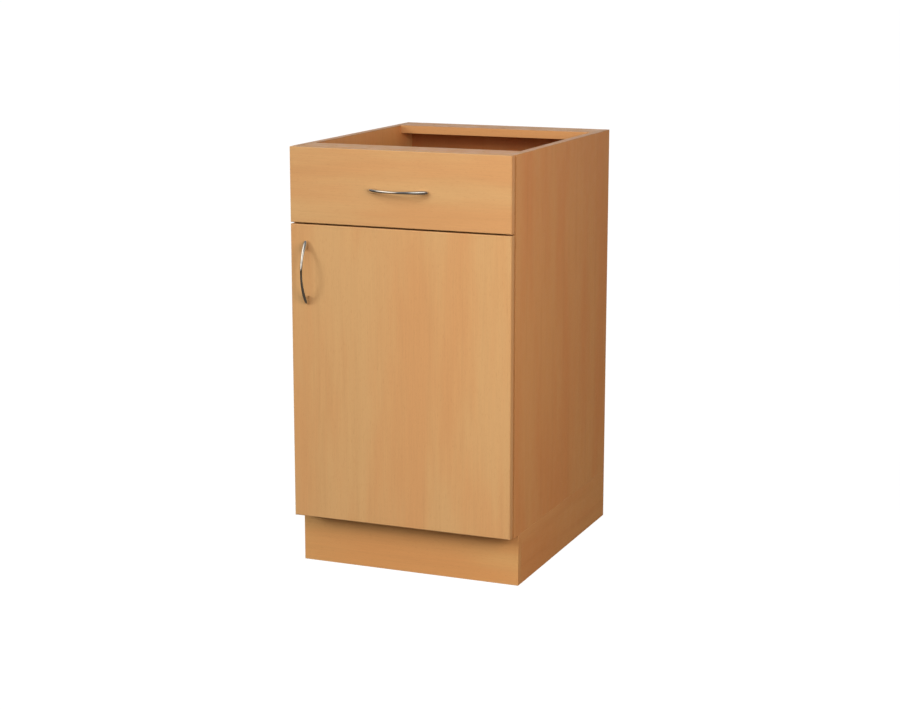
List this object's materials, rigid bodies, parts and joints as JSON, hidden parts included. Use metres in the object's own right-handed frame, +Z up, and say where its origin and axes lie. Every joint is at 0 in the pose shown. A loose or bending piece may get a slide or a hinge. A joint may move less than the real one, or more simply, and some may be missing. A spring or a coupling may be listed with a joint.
{
  "type": "base cabinet",
  "caption": "Open-topped beech-decor base cabinet with a roller drawer over a hinged door on a recessed plinth, for a ward kitchen, nurse station or treatment room.",
  "frame": {"origin": "on the floor, at the centre of the bounding box, handles included", "axes": "+Z up, the door and drawer face -Y, +X towards the side the door hangs on"},
  "size_m": [0.45, 0.586, 0.82],
  "materials": {
    "beech_board": "beech decor melamine on 16 mm chipboard, fine pore, satin",
    "beech_edge": "beech decor plastic edge band, satin",
    "drawer_board": "beech decor melamine on 12 mm chipboard",
    "thin_board": "3 mm hardboard, beech decor inside, raw brown outside",
    "softwood": "planed softwood and grooved beech dowels",
    "bright_metal": "polished, chromium-plated die-cast zinc",
    "nickelled_steel": "nickel-plated pressed steel, satin",
    "zinc_steel": "bright zinc-plated steel",
    "white_coat": "white epoxy powder coat, satin",
    "nylon": "natural white nylon",
    "buffer": "clear soft buffer"
  },
  "bodies": {
    "carcass": {"back_panel": "thin_board", "bottom_panel": "beech_board", "cabinet_runner_left": "white_coat", "cabinet_runner_right": "white_coat", "cabinet_runner_rivets": "zinc_steel", "cabinet_runner_screws": "zinc_steel", "cam_bolts": "zinc_steel", "cam_locks": "zinc_steel", "carcass_dowels": "softwood", "carcass_edge_bands": "beech_edge", "front_traverse": "beech_board", "hinge_arm_lower": "nickelled_steel", "hinge_arm_upper": "nickelled_steel", "hinge_plate_lower": "nickelled_steel", "hinge_plate_screws": "zinc_steel", "hinge_plate_upper": "nickelled_steel", "plinth_corner_blocks": "softwood", "plinth_front": "beech_board", "plinth_rear": "beech_board", "plinth_screws": "zinc_steel", "plinth_side_left": "beech_board", "plinth_side_right": "beech_board", "rear_traverse": "beech_board", "shelf": "beech_board", "shelf_edge_band": "beech_edge", "shelf_pins": "nickelled_steel", "side_panel_left": "beech_board", "side_panel_right": "beech_board"},
    "door": {"door_panel": "beech_board", "door_edge_bands": "beech_edge", "door_handle": "bright_metal", "door_handle_screws": "zinc_steel", "door_buffers": "buffer", "hinge_cup_upper": "nickelled_steel", "hinge_cup_lower": "nickelled_steel", "hinge_pin_upper": "nickelled_steel", "hinge_pin_lower": "nickelled_steel", "hinge_cup_screws": "zinc_steel"},
    "drawer": {"drawer_front": "beech_board", "drawer_front_edge_bands": "beech_edge", "drawer_handle": "bright_metal", "drawer_handle_screws": "zinc_steel", "drawer_front_screws": "zinc_steel", "drawer_inner_front": "drawer_board", "drawer_side_left": "drawer_board", "drawer_side_right": "drawer_board", "drawer_back": "drawer_board", "drawer_bottom": "thin_board", "drawer_box_screws": "zinc_steel", "drawer_buffers": "buffer", "drawer_runner_left": "white_coat", "drawer_runner_right": "white_coat", "drawer_runner_screws": "zinc_steel", "drawer_runner_rivets": "zinc_steel"},
    "cabinet_roller_left": {"cabinet_roller_left": "nylon"},
    "cabinet_roller_right": {"cabinet_roller_right": "nylon"},
    "drawer_roller_left": {"drawer_roller_left": "nylon"},
    "drawer_roller_right": {"drawer_roller_right": "nylon"}
  },
  "joints": [
    {"name": "door_swing", "type": "hinge", "parent": "carcass", "child": "door", "pos_m": [0.21622, -0.26, 0.388], "axis": [0, 0, 1], "range_deg": [0, 90]},
    {"name": "drawer_slide", "type": "slide", "parent": "carcass", "child": "drawer", "axis": [0, -1, 0], "range_m": [0, 0.375]},
    {"name": "cabinet_roller_left_spin", "type": "hinge", "parent": "carcass", "child": "cabinet_roller_left", "pos_m": [-0.2025, -0.2325, 0.7015], "axis": [1, 0, 0], "range_deg": [0, 2150]},
    {"name": "drawer_roller_left_spin", "type": "hinge", "parent": "drawer", "child": "drawer_roller_left", "pos_m": [-0.2025, 0.241, 0.7015], "axis": [1, 0, 0], "range_deg": [0, 2150]},
    {"name": "cabinet_roller_right_spin", "type": "hinge", "parent": "carcass", "child": "cabinet_roller_right", "pos_m": [0.2025, -0.2325, 0.7015], "axis": [1, 0, 0], "range_deg": [0, 2150]},
    {"name": "drawer_roller_right_spin", "type": "hinge", "parent": "drawer", "child": "drawer_roller_right", "pos_m": [0.2025, 0.241, 0.7015], "axis": [1, 0, 0], "range_deg": [0, 2150]}
  ],
  "couplings": [
    {"joint": "cabinet_roller_left_spin", "follows": "drawer_slide", "rad_per_m": 100},
    {"joint": "drawer_roller_left_spin", "follows": "drawer_slide", "rad_per_m": 100},
    {"joint": "cabinet_roller_right_spin", "follows": "drawer_slide", "rad_per_m": 100},
    {"joint": "drawer_roller_right_spin", "follows": "drawer_slide", "rad_per_m": 100}
  ]
}
